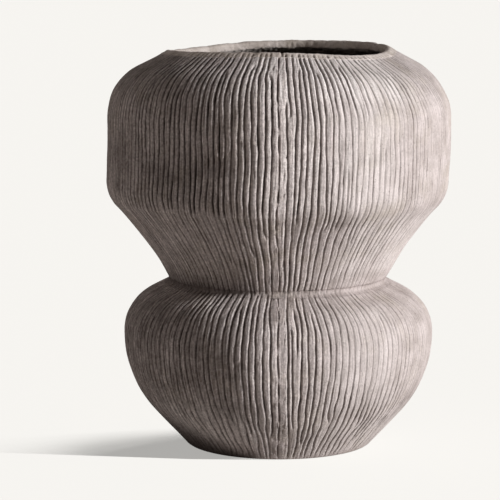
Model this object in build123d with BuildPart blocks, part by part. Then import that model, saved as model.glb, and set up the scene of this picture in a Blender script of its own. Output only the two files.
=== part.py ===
"""Two-lobed clay urn vase with combed sides, joined from moulded halves, coils and a floor slab.

Millimetres, +Z up. The origin is the centre of the ring that the vase stands on, and the front faces -Y.
"""
import os
from math import cos, degrees, radians, sin, tan

from build123d import *

# Outside form of the bowl below the waist
BASE_RADIUS = 93.0
TAPER_ANGLE = 47.4
BELLY_RADIUS = 156.0
BELLY_DROP = 55.0
BOWL_TOP_SLOPE = 27.0
FOOT_ROUND = 5.0

# Outside form of the waist, the flare and the drum
WAIST_RADIUS = 108.0
WAIST_HEIGHT = 168.5
WAIST_CREASE_ROUND = 2.5
FLARE_SAG = 3.2
DRUM_RADIUS = 171.5
DRUM_EDGE_HEIGHT = 253.5
DRUM_EDGE_ROUND = 37.0

# Outside form of the shoulder and the mouth
HEIGHT = 400.0
SHOULDER_SLOPE = 28.2
SHOULDER_ROUND = 60.0
MOUTH_RADIUS = 105.5
LIP_ROUND = 4.0
LIP_UNDER_ROUND = 2.0

# Clay, slip and glaze
WALL = 9.0
SEAM_WIDTH = 3.0
WAIST_COIL_HEIGHT = 6.0
RIM_COIL_WIDTH = 12.0
GLAZE = 1.0

# Main grooves of the comb, spread evenly over each half and deeper on the left
UPPER_GROOVES = 42
LOWER_GROOVES = 35
GROOVE_WIDTH = 2.4
LEFT_GROOVE_DEPTH = 2.2
RIGHT_GROOVE_DEPTH = 1.1
GROOVE_MARGIN = 4.0

# Floor slab, let into the standing ring from inside
STANDING_RING_WIDTH = 23.0
FLOOR_RECESS = 2.0
FLOOR_THICKNESS = 8.0
FLOOR_STEP_THICKNESS = 4.0
FLOOR_STEP_WIDTH = 8.0

# Heights, radii and angles where one piece meets the next
WAIST_COIL_BOTTOM = WAIST_HEIGHT - WAIST_COIL_HEIGHT / 2
WAIST_COIL_TOP = WAIST_HEIGHT + WAIST_COIL_HEIGHT / 2
RIM_COIL_RADIUS = MOUTH_RADIUS + RIM_COIL_WIDTH
FLOOR_TOP = FLOOR_RECESS + FLOOR_THICKNESS
FLOOR_STEP_BOTTOM = FLOOR_TOP - FLOOR_STEP_THICKNESS
FLOOR_RADIUS = BASE_RADIUS - STANDING_RING_WIDTH
FLOOR_STEP_RADIUS = FLOOR_RADIUS + FLOOR_STEP_WIDTH
SEAM_ANGLE = degrees(SEAM_WIDTH / DRUM_RADIUS)
HALF_ANGLE = 180 - SEAM_ANGLE
GROOVE_ANGLE = degrees(GROOVE_WIDTH / DRUM_RADIUS)
UPPER_GROOVE_BOTTOM = WAIST_COIL_TOP + GROOVE_MARGIN
UPPER_GROOVE_RADIUS = RIM_COIL_RADIUS + GROOVE_MARGIN
LOWER_GROOVE_BOTTOM = FOOT_ROUND
LOWER_GROOVE_TOP = WAIST_COIL_BOTTOM - GROOVE_MARGIN

# Directions seen from above, in degrees from +X
RIGHT = 0
REAR = 90
LEFT = 180
FRONT = 270

# Quarter of a flat drawing that grows right and up, or right and down, from a point
RIGHT_UP = (Align.MIN, Align.MIN)
RIGHT_DOWN = (Align.MIN, Align.MAX)
REACH = 2 * (HEIGHT + DRUM_RADIUS)


def shoulder_height(radius):
    """Height of the straight shoulder at a radius, set so that the rounded lip reaches the full height."""
    lip_centre_radius = MOUTH_RADIUS + LIP_ROUND
    above_lip = LIP_ROUND / cos(radians(SHOULDER_SLOPE)) - LIP_ROUND
    return HEIGHT + above_lip + (lip_centre_radius - radius) * tan(radians(SHOULDER_SLOPE))


def step_from(corner, distance, angle):
    """Point at a distance from a corner of the half section, in a direction given in degrees."""
    return corner[0] + distance * cos(radians(angle)), corner[1] + distance * sin(radians(angle))


# Half sections are drawn flat, with radius along X and height along Y, and are stood up to be turned.
foot_corner = (BASE_RADIUS, 0)
crease_corner = (WAIST_RADIUS, WAIST_HEIGHT)
belly_point = (BELLY_RADIUS, WAIST_HEIGHT - BELLY_DROP)
taper_corner = (BELLY_RADIUS, (BELLY_RADIUS - BASE_RADIUS) * tan(radians(TAPER_ANGLE)))
bowl_top_corner = (BELLY_RADIUS, WAIST_HEIGHT - (BELLY_RADIUS - WAIST_RADIUS) * tan(radians(BOWL_TOP_SLOPE)))
under_belly_start = step_from(taper_corner, belly_point[1] - taper_corner[1], 180 + TAPER_ANGLE)
over_belly_end = step_from(bowl_top_corner, bowl_top_corner[1] - belly_point[1], 180 - BOWL_TOP_SLOPE)
drum_edge_corner = (DRUM_RADIUS, DRUM_EDGE_HEIGHT)
shoulder_corner = (DRUM_RADIUS, shoulder_height(DRUM_RADIUS))
lip_corner = (MOUTH_RADIUS, shoulder_height(MOUTH_RADIUS))
lip_under_corner = (MOUTH_RADIUS, lip_corner[1] - WALL / cos(radians(SHOULDER_SLOPE)))

# The whole outside form, closed over at the mouth
with BuildSketch() as form:
    with BuildLine():
        bottom = Line((0, 0), foot_corner)
        taper = Line(bottom @ 1, under_belly_start)
        under_belly = TangentArc(taper @ 1, belly_point, tangent=taper % 1)
        over_belly = TangentArc(under_belly @ 1, over_belly_end, tangent=under_belly % 1)
        bowl_top = Line(over_belly @ 1, crease_corner)
        flare = SagittaArc(bowl_top @ 1, drum_edge_corner, FLARE_SAG)
        drum = Line(flare @ 1, shoulder_corner)
        shoulder = Line(drum @ 1, (0, shoulder_height(0)))
        Line(shoulder @ 1, bottom @ 0)
    make_face()
    fillet(form.vertices().sort_by_distance(crease_corner)[0], WAIST_CREASE_ROUND)
    fillet(form.vertices().sort_by_distance(drum_edge_corner)[0], DRUM_EDGE_ROUND)
    fillet(form.vertices().sort_by_distance(shoulder_corner)[0], SHOULDER_ROUND)


def hollow(inset, floor):
    """Half section of the space inside the form, an inset away from its outside and above a floor height."""
    with BuildSketch() as space:
        add(form.sketch)
        Rectangle(BASE_RADIUS, REACH, align=RIGHT_DOWN)
        mirror(about=Plane.YZ)
        offset(amount=-inset, mode=Mode.REPLACE)
        with Locations((0, floor)):
            Rectangle(REACH, REACH, align=RIGHT_UP, mode=Mode.INTERSECT)
    return space.sketch


# The clay wall with its floor, cut open at the mouth and rounded at the lip and the foot
with BuildSketch() as wall:
    add(form.sketch)
    add(hollow(WALL, FLOOR_TOP), mode=Mode.SUBTRACT)
    with Locations((0, DRUM_EDGE_HEIGHT)):
        Rectangle(MOUTH_RADIUS, REACH, align=RIGHT_UP, mode=Mode.SUBTRACT)
    fillet(wall.vertices().sort_by_distance(lip_corner)[0], LIP_ROUND)
    fillet(wall.vertices().sort_by_distance(lip_under_corner)[0], LIP_UNDER_ROUND)
    fillet(wall.vertices().sort_by_distance(foot_corner)[0], FOOT_ROUND)

# The stepped floor slab, which the standing ring carries on a ledge
with BuildSketch() as slab:
    with Locations((0, FLOOR_RECESS)):
        Rectangle(FLOOR_RADIUS, FLOOR_THICKNESS, align=RIGHT_UP)
    with Locations((0, FLOOR_STEP_BOTTOM)):
        Rectangle(FLOOR_STEP_RADIUS, FLOOR_STEP_THICKNESS, align=RIGHT_UP)

# Sections of the two storeys, which meet the coils and the floor slab
with BuildSketch() as upper_section:
    add(wall.sketch)
    with Locations((0, WAIST_COIL_TOP)):
        Rectangle(REACH, REACH, align=RIGHT_UP, mode=Mode.INTERSECT)
    with Locations((0, DRUM_EDGE_HEIGHT)):
        Rectangle(RIM_COIL_RADIUS, REACH, align=RIGHT_UP, mode=Mode.SUBTRACT)

with BuildSketch() as lower_section:
    add(wall.sketch)
    with Locations((0, WAIST_COIL_BOTTOM)):
        Rectangle(REACH, REACH, align=RIGHT_DOWN, mode=Mode.INTERSECT)
    add(slab.sketch, mode=Mode.SUBTRACT)
    with Locations((0, FLOOR_RECESS)):
        Rectangle(FLOOR_RADIUS, REACH, align=RIGHT_DOWN, mode=Mode.SUBTRACT)


def upper_groove(depth):
    """Half section that a comb tooth takes away from the upper storey, clear of both coils."""
    with BuildSketch() as tooth:
        with Locations((0, UPPER_GROOVE_BOTTOM)):
            Rectangle(REACH, REACH, align=RIGHT_UP)
        add(hollow(depth, 0), mode=Mode.SUBTRACT)
        with Locations((0, DRUM_EDGE_HEIGHT)):
            Rectangle(UPPER_GROOVE_RADIUS, REACH, align=RIGHT_UP, mode=Mode.SUBTRACT)
    return tooth.sketch


def lower_groove(depth):
    """Half section that a comb tooth takes away from the lower storey, clear of the foot and the waist coil."""
    with BuildSketch() as tooth:
        with Locations((0, LOWER_GROOVE_BOTTOM)):
            Rectangle(REACH, LOWER_GROOVE_TOP - LOWER_GROOVE_BOTTOM, align=RIGHT_UP)
        add(hollow(depth, 0), mode=Mode.SUBTRACT)
    return tooth.sketch


def meridian(middle, width):
    """Upright plane through the axis, at the start of a turn of some width about a middle direction."""
    start = radians(middle - width / 2)
    return Plane((0, 0, 0), x_dir=(cos(start), sin(start), 0), z_dir=(sin(start), -cos(start), 0))


def groove_planes(middle, count):
    """Upright planes at the starts of the grooves that share out the half about a middle direction."""
    spacing = HALF_ANGLE / (count + 1)
    first = middle - HALF_ANGLE / 2 + spacing
    return [meridian(first + spacing * index, GROOVE_ANGLE) for index in range(count)]


# Moulded halves, each combed from end to end
with BuildPart() as upper_left_shell:
    with BuildSketch(meridian(LEFT, HALF_ANGLE)):
        add(upper_section.sketch)
    revolve(axis=Axis.Z, revolution_arc=HALF_ANGLE)
    with BuildSketch(*groove_planes(LEFT, UPPER_GROOVES)):
        add(upper_groove(LEFT_GROOVE_DEPTH))
    revolve(axis=Axis.Z, revolution_arc=GROOVE_ANGLE, mode=Mode.SUBTRACT)

with BuildPart() as upper_right_shell:
    with BuildSketch(meridian(RIGHT, HALF_ANGLE)):
        add(upper_section.sketch)
    revolve(axis=Axis.Z, revolution_arc=HALF_ANGLE)
    with BuildSketch(*groove_planes(RIGHT, UPPER_GROOVES)):
        add(upper_groove(RIGHT_GROOVE_DEPTH))
    revolve(axis=Axis.Z, revolution_arc=GROOVE_ANGLE, mode=Mode.SUBTRACT)

with BuildPart() as lower_left_shell:
    with BuildSketch(meridian(LEFT, HALF_ANGLE)):
        add(lower_section.sketch)
    revolve(axis=Axis.Z, revolution_arc=HALF_ANGLE)
    with BuildSketch(*groove_planes(LEFT, LOWER_GROOVES)):
        add(lower_groove(LEFT_GROOVE_DEPTH))
    revolve(axis=Axis.Z, revolution_arc=GROOVE_ANGLE, mode=Mode.SUBTRACT)

with BuildPart() as lower_right_shell:
    with BuildSketch(meridian(RIGHT, HALF_ANGLE)):
        add(lower_section.sketch)
    revolve(axis=Axis.Z, revolution_arc=HALF_ANGLE)
    with BuildSketch(*groove_planes(RIGHT, LOWER_GROOVES)):
        add(lower_groove(RIGHT_GROOVE_DEPTH))
    revolve(axis=Axis.Z, revolution_arc=GROOVE_ANGLE, mode=Mode.SUBTRACT)

# Strips of slip between the halves
with BuildPart() as upper_front_seam:
    with BuildSketch(meridian(FRONT, SEAM_ANGLE)):
        add(upper_section.sketch)
    revolve(axis=Axis.Z, revolution_arc=SEAM_ANGLE)

with BuildPart() as upper_rear_seam:
    with BuildSketch(meridian(REAR, SEAM_ANGLE)):
        add(upper_section.sketch)
    revolve(axis=Axis.Z, revolution_arc=SEAM_ANGLE)

with BuildPart() as lower_front_seam:
    with BuildSketch(meridian(FRONT, SEAM_ANGLE)):
        add(lower_section.sketch)
    revolve(axis=Axis.Z, revolution_arc=SEAM_ANGLE)

with BuildPart() as lower_rear_seam:
    with BuildSketch(meridian(REAR, SEAM_ANGLE)):
        add(lower_section.sketch)
    revolve(axis=Axis.Z, revolution_arc=SEAM_ANGLE)

# Coil that joins the two storeys in the waist crease
with BuildPart() as waist_coil:
    with BuildSketch(Plane.XZ):
        add(wall.sketch)
        with Locations((0, WAIST_COIL_BOTTOM)):
            Rectangle(REACH, WAIST_COIL_HEIGHT, align=RIGHT_UP, mode=Mode.INTERSECT)
    revolve(axis=Axis.Z)

# Plain coil that finishes the mouth
with BuildPart() as rim_coil:
    with BuildSketch(Plane.XZ):
        add(wall.sketch)
        with Locations((0, DRUM_EDGE_HEIGHT)):
            Rectangle(RIM_COIL_RADIUS, REACH, align=RIGHT_UP, mode=Mode.INTERSECT)
    revolve(axis=Axis.Z)

# Disc that closes the foot
with BuildPart() as floor_slab:
    with BuildSketch(Plane.XZ):
        add(slab.sketch)
    revolve(axis=Axis.Z)

# Coat inside the clay, from the floor up to the rim coil
with BuildPart() as inner_glaze:
    with BuildSketch(Plane.XZ):
        add(hollow(WALL, FLOOR_TOP))
        add(hollow(WALL + GLAZE, FLOOR_TOP + GLAZE), mode=Mode.SUBTRACT)
        with Locations((0, DRUM_EDGE_HEIGHT)):
            Rectangle(RIM_COIL_RADIUS, REACH, align=RIGHT_UP, mode=Mode.SUBTRACT)
    revolve(axis=Axis.Z)

pieces = {
    "upper_left_shell": upper_left_shell,
    "upper_right_shell": upper_right_shell,
    "lower_left_shell": lower_left_shell,
    "lower_right_shell": lower_right_shell,
    "upper_front_seam": upper_front_seam,
    "upper_rear_seam": upper_rear_seam,
    "lower_front_seam": lower_front_seam,
    "lower_rear_seam": lower_rear_seam,
    "waist_coil": waist_coil,
    "rim_coil": rim_coil,
    "floor_slab": floor_slab,
    "inner_glaze": inner_glaze,
}

os.makedirs("parts", exist_ok=True)
for name, piece in pieces.items():
    piece.part.label = name
    export_step(piece.part, f"parts/{name}.step")
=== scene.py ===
# %% [markdown]
# # A combed clay urn vase
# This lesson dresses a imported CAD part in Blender. The vase is hand-built from two rows of clay shells that
# meet at a narrow waist, and a comb was drawn up and down the soft clay before it was fired. The CAD part
# gives the true sizes, so every mesh made here shares its frame, in metres, with the front towards -Y.

import math

import bmesh
import bpy
import numpy as np
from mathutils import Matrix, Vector


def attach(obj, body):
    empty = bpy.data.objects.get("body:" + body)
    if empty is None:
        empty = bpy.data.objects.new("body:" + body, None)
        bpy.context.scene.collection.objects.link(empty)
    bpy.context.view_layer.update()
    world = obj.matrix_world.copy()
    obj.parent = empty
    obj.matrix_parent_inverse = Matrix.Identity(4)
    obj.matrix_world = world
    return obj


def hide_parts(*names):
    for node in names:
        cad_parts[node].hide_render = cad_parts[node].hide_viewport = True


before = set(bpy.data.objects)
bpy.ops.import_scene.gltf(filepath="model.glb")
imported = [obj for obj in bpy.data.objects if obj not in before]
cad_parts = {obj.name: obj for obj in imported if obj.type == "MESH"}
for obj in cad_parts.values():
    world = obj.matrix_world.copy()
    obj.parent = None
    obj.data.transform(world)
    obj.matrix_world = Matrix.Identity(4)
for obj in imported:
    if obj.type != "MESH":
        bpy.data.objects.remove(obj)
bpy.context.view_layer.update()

# %% [markdown]
# ## The camera
# A vase is photographed from a little above, through a long lens, so that its sides stay nearly upright.
# The place of the camera was worked out from the sizes of the mouth, the waist and the foot in the picture.
# It is turned a little to the left, which leaves the vase right of the middle without any lens shift.

# %% Camera
CAMERA_DISTANCE = 2.4846
CAMERA_HEIGHT = 0.5529
CAMERA_TILT = math.radians(8.19)
CAMERA_TURN = math.radians(0.668)
LENS, SENSOR_WIDTH = 178.9, 36
camera = bpy.data.objects.new("camera", bpy.data.cameras.new("camera"))
camera.data.lens = LENS
camera.data.sensor_width = SENSOR_WIDTH
camera.location = (0, -CAMERA_DISTANCE, CAMERA_HEIGHT)
camera.rotation_euler = (math.pi / 2 - CAMERA_TILT, 0, CAMERA_TURN)
bpy.context.scene.collection.objects.link(camera)
bpy.context.scene.camera = camera
print("camera at", tuple(round(value, 3) for value in camera.location))

# %% [markdown]
# ## Drawing an outline
# A potter plans such a pot as half a section: one line that the wall follows as it goes round. The line could
# be a curve object, but true arcs keep to the CAD part, so a vertex is extruded along each straight run and
# spun round the centre of each rounded corner. A corner is a radius, a height and a rounding, all in mm.

# %% Outline tools
MM = 0.001


def turn_between(before, after):
    """The angle from one direction to the next, positive to the left."""
    return math.atan2(before.x * after.z - before.z * after.x, before.dot(after))


def draw_outline(corners, row_length):
    """Points along the rounded line through the corners, about row_length mm apart."""
    bm = bmesh.new()
    places = [Vector((radius, 0, height)) for radius, height, _ in corners]
    tip = bm.verts.new(places[0])
    for index in range(1, len(places)):
        heading = (places[index] - places[index - 1]).normalized()
        rounding, turn = corners[index][2], 0
        if rounding:
            turn = turn_between(heading, places[index + 1] - places[index])
        run = places[index] - heading * rounding * math.tan(abs(turn) / 2) - tip.co
        steps = max(1, round(run.length / row_length))
        if run.length > 0.1:
            for _ in range(steps):
                tip = bmesh.ops.extrude_vert_indiv(bm, verts=[tip])["verts"][0]
                bmesh.ops.translate(bm, verts=[tip], vec=run / steps)
        if turn:
            centre = tip.co + Vector((-heading.z, 0, heading.x)) * math.copysign(rounding, turn)
            steps = max(2, round(rounding * abs(turn) / row_length))
            bmesh.ops.spin(bm, geom=[tip], cent=centre, axis=(0, -1, 0), angle=turn, steps=steps)
            bm.verts.ensure_lookup_table()
            tip = bm.verts[-1]
    points = np.array([(vert.co.x, vert.co.z) for vert in bm.verts])
    bm.free()
    return points


def inset(corners, depth):
    """The same corners moved depth mm into the clay, which is on the left of the line."""
    places = [Vector((radius, 0, height)) for radius, height, _ in corners]
    moved = []
    for index, (radius, height, rounding) in enumerate(corners):
        after = (places[min(index + 1, len(places) - 1)] - places[min(index, len(places) - 2)]).normalized()
        before = (places[max(index, 1)] - places[max(index - 1, 0)]).normalized()
        turn = turn_between(before, after)
        middle = (before + after).normalized()
        step = Vector((-middle.z, 0, middle.x)) * depth / math.cos(turn / 2)
        softer = rounding - math.copysign(depth, turn) if rounding else 0
        moved.append((radius + step.x, height + step.z, softer))
    return moved


def at_height(low, high, height):
    """The corner where the line from low to high passes a height."""
    share = (height - low[1]) / (high[1] - low[1])
    return (low[0] + (high[0] - low[0]) * share, height, 0)


print("outline tools ready")

# %% [markdown]
# ## The two storeys
# The lower storey is a squat bowl, the upper one a flare, a drum and a sloping shoulder. Their outlines use
# the sizes of the CAD part. The hollow flare is given by a corner pulled in behind its straight line and then
# rounded very softly. The wall is 9 mm thick, and its inside needs far fewer points than its combed outside.

# %% Storey sections
WALL = 9
ROW = 2.7
INNER_ROW = 16
FOOT = (93, 0, 5)
UNDER_BELLY = (156, 68.51, 115.4)
OVER_BELLY = (156, 144.04, 49.8)
CREASE = (108, 168.5, 2.5)
FLARE_MIDDLE = (134.6, 214.8, 300)
DRUM_EDGE = (171.5, 253.5, 37)
SHOULDER = (171.5, 367.3, 60)
RIM_JOINT, RIM_JOINT_BOTTOM = (117.5, 396.25, 0), (117.5, 386.04, 0)
COIL_BOTTOM, COIL_TOP, FLOOR_TOP = 165.5, 171.5, 10
RING_INSIDE, LEDGE_RADIUS, LEDGE_HEIGHT = 70, 78, 6
whole_wall = [FOOT, UNDER_BELLY, OVER_BELLY, CREASE, FLARE_MIDDLE, DRUM_EDGE, SHOULDER, RIM_JOINT]
inside_wall = inset(whole_wall, WALL)

lower_end = at_height(OVER_BELLY, CREASE, COIL_BOTTOM)
lower_outline = draw_outline([(RING_INSIDE, 0, 0), FOOT, UNDER_BELLY, OVER_BELLY, lower_end], ROW)
lower_inside = [
    at_height(inside_wall[2], inside_wall[3], COIL_BOTTOM),
    inside_wall[2],
    inside_wall[1],
    at_height(inside_wall[0], inside_wall[1], FLOOR_TOP),
    (LEDGE_RADIUS, FLOOR_TOP, 0),
    (LEDGE_RADIUS, LEDGE_HEIGHT, 0),
    (RING_INSIDE, LEDGE_HEIGHT, 0),
]
lower_section = np.vstack((lower_outline, draw_outline(lower_inside, INNER_ROW)))

upper_start = at_height(CREASE, FLARE_MIDDLE, COIL_TOP)
upper_outline = draw_outline([upper_start, FLARE_MIDDLE, DRUM_EDGE, SHOULDER, RIM_JOINT], ROW)
upper_inside = [
    RIM_JOINT_BOTTOM,
    inside_wall[6],
    inside_wall[5],
    inside_wall[4],
    at_height(inside_wall[3], inside_wall[4], COIL_TOP),
]
upper_section = np.vstack((upper_outline, draw_outline(upper_inside, INNER_ROW)))
print("outer rows:", len(lower_outline), "below,", len(upper_outline), "above")

# %% [markdown]
# ## Turning a section into a shell
# One call can sweep a section round the axis, but each step of a long sweep looks through the whole mesh, so
# a narrow strip is swept first, and then copied round and merged. A half shell stops short of half a turn,
# where the seam begins, and both its ends are filled. Each outer vertex keeps the number of its row, so that
# the comb can find it later.

# %% Spin tools
SEAM_WIDTH = 3
SEAM_ANGLE = SEAM_WIDTH / DRUM_EDGE[0]
HALF_TURN = math.pi - SEAM_ANGLE
RIGHT, REAR, LEFT, FRONT = 0, math.pi / 2, math.pi, -math.pi / 2
MERGE_DISTANCE = 0.002


def spin_section(name, section, outer_rows, middle, sweep, strips, steps, closed=True):
    """A mesh in mm: the section swept about the axis in strips of a few steps, centred on a direction."""
    bm = bmesh.new()
    row = bm.verts.layers.int.new("row")
    start = middle - sweep / 2
    verts = []
    for index, (radius, height) in enumerate(section):
        verts.append(bm.verts.new((radius * math.cos(start), radius * math.sin(start), height)))
        verts[-1][row] = index if index < outer_rows else -1
    following = verts[1:] + verts[:1] if closed else verts[1:]
    edges = [bm.edges.new(pair) for pair in zip(verts, following)]
    about = {"cent": (0, 0, 0), "axis": (0, 0, 1)}
    strip = sweep / strips
    bmesh.ops.spin(bm, geom=verts + edges, angle=strip, steps=steps, **about)
    strip_parts = [*bm.verts, *bm.edges, *bm.faces]
    bmesh.ops.spin(bm, geom=strip_parts, angle=sweep - strip, steps=strips - 1, use_duplicate=True, **about)
    bmesh.ops.remove_doubles(bm, verts=bm.verts, dist=MERGE_DISTANCE)
    open_ends = [edge for edge in bm.edges if edge.is_boundary]
    bmesh.ops.holes_fill(bm, edges=open_ends, sides=0)
    bmesh.ops.recalc_face_normals(bm, faces=bm.faces)
    mesh = bpy.data.meshes.new(name)
    bm.to_mesh(mesh)
    bm.free()
    return mesh


def read_mesh(mesh):
    """Every vertex in mm as radius, direction and height, with its row."""
    place = np.empty(len(mesh.vertices) * 3)
    mesh.vertices.foreach_get("co", place)
    place = place.reshape(-1, 3)
    row = np.empty(len(place), dtype=np.int32)
    mesh.attributes["row"].data.foreach_get("value", row)
    return np.hypot(place[:, 0], place[:, 1]), np.arctan2(place[:, 1], place[:, 0]), place[:, 2].copy(), row


print("half turn:", round(math.degrees(HALF_TURN), 2), "degrees")

# %% [markdown]
# ## Unevenness of the hand
# No hand-built pot is quite round or level. Here the lip dips at the back left and at the front right, which
# a few waves round the rim describe well: how many to the turn, how high in mm, and where each one peaks. The
# two halves don't meet quite flush at the front seam either: the left one stands out a little beside it and
# the right one is sunk. The waist sagged a little under the weight of the drum, the flare swelled and the
# bowl shrank by less than a millimetre, and the wall leans a touch from side to side on its way up. All
# pieces share this one function, so they still meet after it has moved them.

# %% Hand-built unevenness
LIP_DROP = -0.8
LIP_WAVES = ((1, 1.1, 349), (2, 2.5, 61), (3, 0.35, 15), (4, 0.65, 12))
ROUND_WAVES = ((2, 0.5, 20), (3, 0.4, 75), (5, 0.2, 30))
SEAM_STEP, SEAM_STEP_WIDTH = 1.85, 31
SAG, FLARE_SWELL, BOWL_SLACK = 1.6, 0.9, 0.65
LEAN_HEIGHTS = (0, 140, 160, 180, 200, 235, 265, 300, 345, 362, 380, 400)
LEAN = (0.1, 0.1, -1.2, -0.2, -0.7, -1.4, -1.0, 0.6, 0.7, -0.6, -0.8, 0)


def ease(low, high, value):
    """A smooth step from 0 at low to 1 at high."""
    share = np.clip((value - low) / (high - low), 0, 1)
    return share * share * (3 - 2 * share)


def bell(middle, width, value):
    """A smooth hump of 1 at the middle, nearly gone at twice the width from it."""
    return np.exp(-(((value - middle) / width) ** 2))


def waves(table, direction):
    """The sum of waves round the turn, each with its count, its height and the degree where it peaks."""
    return sum(height * np.cos(count * (direction - math.radians(peak))) for count, height, peak in table)


def by_hand(radius, direction, height):
    """Moves points as the potter's hand did, and returns them as x, y and z in metres."""
    lifted = height + ease(290, 400, height) * (LIP_DROP + waves(LIP_WAVES, direction))
    lifted = lifted - SAG * bell(160, 22, height)
    off_axis = np.minimum(radius / 100, 1)
    swollen = radius + ease(15, 90, height) * off_axis * waves(ROUND_WAVES, direction)
    beside = (direction - FRONT) * radius / SEAM_STEP_WIDTH
    on_bowl = 0.6 * ease(30, 80, height) * ease(168, 140, height)
    on_drum = ease(176, 250, height) * ease(396, 365, height)
    unit_step = math.sqrt(2 * math.e) * beside * bell(0, 1, beside)
    swollen = swollen - SEAM_STEP * unit_step * (on_bowl + on_drum)
    fuller = FLARE_SWELL * bell(217, 20, height) - BOWL_SLACK * bell(95, 48, height)
    swollen = swollen + off_axis * fuller
    leaning = swollen * np.cos(direction) + np.interp(height, LEAN_HEIGHTS, LEAN)
    return np.stack((leaning, swollen * np.sin(direction), lifted), axis=1) * MM


print("lip from", round(float((LIP_DROP + waves(LIP_WAVES, np.linspace(0, 6.28, 99))).min()), 1), "mm")

# %% [markdown]
# ## Where the comb went
# The grooves are the whole character of this vase. A wave texture would give even stripes, but real ones were
# drawn by hand: they wander, run into each other and die out where the wall narrows. So the grooves of one
# half are followed row by row from its widest place. Each keeps midway between its neighbours and drifts a
# little, and where there is no room for all of them the most crowded one ends or joins the next.

# %% Comb tracks
FIRST_SCATTER = 0.65
WANDER, KEPT_DRIFT, EVENING_OUT = 0.058, 0.8, 0.055
SWAY, SWAY_WIDTH, SWAY_LENGTH = 0.9, 24, 42
TREMBLE, TREMBLE_LENGTH = 0.36, 13
FOOT_WAVES = 1.3
CROWDING, PRESSURE = (0.75, 1.25), (0.72, 1.12)
FADE, FREE_ENDS, JOINING_ROWS = 9, 0.6, 4


def cloud(across, along, seed):
    """Smooth noise between -1 and 1 with one bump to each unit across and along."""
    table = np.random.default_rng(seed).uniform(-1, 1, (256, 256))
    low_across, low_along = np.floor(across).astype(int), np.floor(along).astype(int)
    share_across, share_along = across - low_across, along - low_along
    share_across = share_across**2 * (3 - 2 * share_across)
    share_along = share_along**2 * (3 - 2 * share_along)
    columns = (low_across % 256, (low_across + 1) % 256)
    rows = (low_along % 256, (low_along + 1) % 256)
    near = table[columns[0], rows[0]] * (1 - share_across) + table[columns[1], rows[0]] * share_across
    far = table[columns[0], rows[1]] * (1 - share_across) + table[columns[1], rows[1]] * share_across
    return near * (1 - share_along) + far * share_along


def row_cloud(across, along, seed):
    """The same noise for points that share one place along."""
    return cloud(across, np.full_like(across, along), seed)


def comb_tracks(outline, pitch, seed):
    """Direction of every groove at every row, and how strongly it is marked there."""
    chance = np.random.default_rng(seed)
    radius, reach = outline[:, 0], HALF_TURN / 2
    widest = int(np.flatnonzero(radius > radius.max() - 0.01).mean())
    room = HALF_TURN * radius / pitch
    first = int(room[widest])
    even = (np.arange(first) + 1) / (first + 1) * HALF_TURN - reach
    rows = [{} for _ in radius]
    rows[widest] = dict(enumerate(even + chance.normal(0, FIRST_SCATTER, first) / radius[widest]))
    made = first
    for way, end in ((1, len(radius)), (-1, -1)):
        drift = {}
        for here in range(widest + way, end, way):
            tracks = sorted(rows[here - way].items(), key=lambda track: track[1])
            names = [name for name, _ in tracks]
            places = np.array([place for _, place in tracks])
            wanted = int(room[here] * (1 + 0.008 * math.sin(here * 0.2 + seed)))
            while len(names) > wanted:
                edged = np.concatenate(([-reach], places, [reach]))
                crowd = (edged[2:] - edged[:-2]) * chance.uniform(*CROWDING, len(names))
                lost = int(crowd.argmin())
                names.pop(lost)
                places = np.delete(places, lost)
            if len(names) < wanted:
                gap = int(np.diff(places).argmax())
                names.insert(gap + 1, made)
                places = np.insert(places, gap + 1, places[gap : gap + 2].mean())
                made += 1
            edged = np.concatenate(([-reach], places, [reach]))
            step = chance.normal(0, WANDER, len(names)) / radius[here]
            pull = np.array([drift.get(name, 0) for name in names]) * KEPT_DRIFT + step
            drift = dict(zip(names, pull))
            places = places + EVENING_OUT * ((edged[2:] + edged[:-2]) / 2 - places) + pull
            rows[here] = dict(zip(names, places))
    place = np.full((made, len(radius)), np.nan)
    for here, tracks in enumerate(rows):
        place[list(tracks), here] = list(tracks.values())
    strength = track_strength(place, chance)
    along = np.broadcast_to(np.arange(len(radius)) * ROW / SWAY_LENGTH, place.shape)
    unsteady = 1 + FOOT_WAVES * ease(95, 45, outline[:, 1])
    across = np.nan_to_num(place) * radius / SWAY_WIDTH
    sway = SWAY * cloud(across, along, seed) * (1 - (place / reach) ** 6)
    own = np.broadcast_to(np.arange(made)[:, None], place.shape)
    tremble = TREMBLE * cloud(own, along * SWAY_LENGTH / TREMBLE_LENGTH, seed + 1)
    return place + unsteady * (sway + tremble) / radius, strength


def track_strength(place, chance):
    """About 1 along a groove, falling to 0 where it ends; some of the ends bend into a neighbour."""
    strength = np.zeros(place.shape)
    last_row = place.shape[1] - 1
    fade_rows, knots = round(FADE / ROW), np.linspace(0, last_row, 9)
    for track in range(len(place)):
        alive = np.flatnonzero(~np.isnan(place[track]))
        low, high = alive[0], alive[-1]
        along = np.interp(alive, knots, chance.uniform(*PRESSURE, len(knots)))
        from_low = 1 if low == 0 else np.clip((alive - low + 1) / fade_rows, 0, 1)
        from_high = 1 if high == last_row else np.clip((high - alive + 1) / fade_rows, 0, 1)
        strength[track, alive] = along * from_low * from_high
        for end, way in ((low, 1), (high, -1)):
            if end in (0, last_row) or chance.random() < FREE_ENDS:
                continue
            beside = np.abs(place[:, end] - place[track, end])
            beside[track] = np.inf
            partner = int(np.nanargmin(beside))
            for count in range(JOINING_ROWS):
                here = end + way * count
                if low <= here <= high and not np.isnan(place[partner, here]):
                    lean = (1 - count / JOINING_ROWS) ** 1.5 * 0.5
                    place[track, here] += lean * (place[partner, here] - place[track, here])
    return strength


print("a groove fades over", FADE, "mm where it ends")

# %% [markdown]
# ## Where the seams run
# The seams stray from the middle of their strips in the same way, and here and there slip bridges them. Each
# seam is given by the heights of its bridges in mm.

# %% Seam lines
BRIDGE = 3.5


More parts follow.
